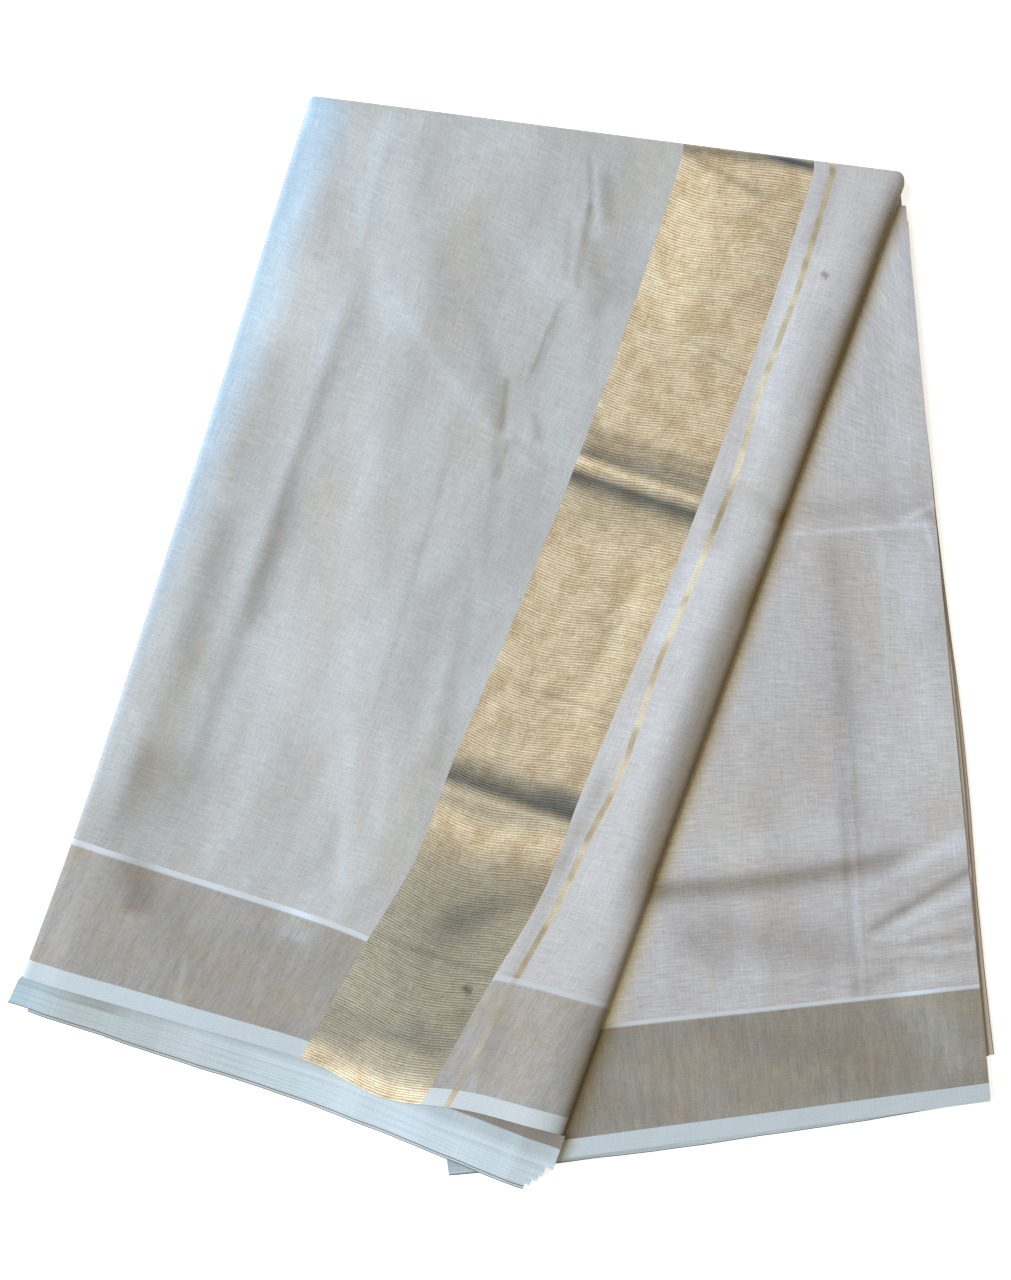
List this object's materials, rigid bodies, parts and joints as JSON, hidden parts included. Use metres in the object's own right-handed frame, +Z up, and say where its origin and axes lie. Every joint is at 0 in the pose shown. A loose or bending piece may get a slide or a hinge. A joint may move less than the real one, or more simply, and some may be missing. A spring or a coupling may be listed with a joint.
{
  "type": "folded kasavu saree",
  "caption": "Off-white cotton saree with a metallic gold band and zari borders, folded to a stack and folded once more askew, lying flat.",
  "frame": {"origin": "under the middle of the footprint, on the surface that the saree lies on", "axes": "+Z up from that surface; +Y along the length, from the layered edges towards the top fold; +X across, towards the lower half's wedge"},
  "size_m": [0.591, 0.6498, 0.0201],
  "materials": {
    "cotton": "plain-woven off-white cotton, matt",
    "gold_band": "dense metallic gold weft with fine ribs",
    "zari_border": "fine zari weave, brown-grey, faint metallic sheen",
    "selvedge": "dense white woven edge"
  },
  "bodies": {
    "root": {"hidden_layers": "cotton", "upper_body": "cotton", "upper_gold_band": "gold_band", "upper_end_piece": "cotton", "upper_border_left": "zari_border", "upper_selvedge_left": "selvedge", "upper_border_right": "zari_border", "upper_selvedge_right": "selvedge", "upper_leaf_1": "selvedge", "upper_leaf_2": "selvedge", "upper_leaf_3": "selvedge", "upper_leaf_4": "selvedge", "upper_leaf_5": "selvedge", "lower_body": "cotton", "lower_border": "zari_border", "lower_selvedge": "selvedge", "lower_leaf_1": "selvedge", "lower_leaf_2": "selvedge", "lower_leaf_3": "selvedge", "lower_leaf_4": "selvedge", "lower_leaf_5": "selvedge", "lower_side_fold_1": "cotton", "lower_side_fold_2": "cotton", "lower_side_fold_3": "cotton"}
  },
  "joints": []
}
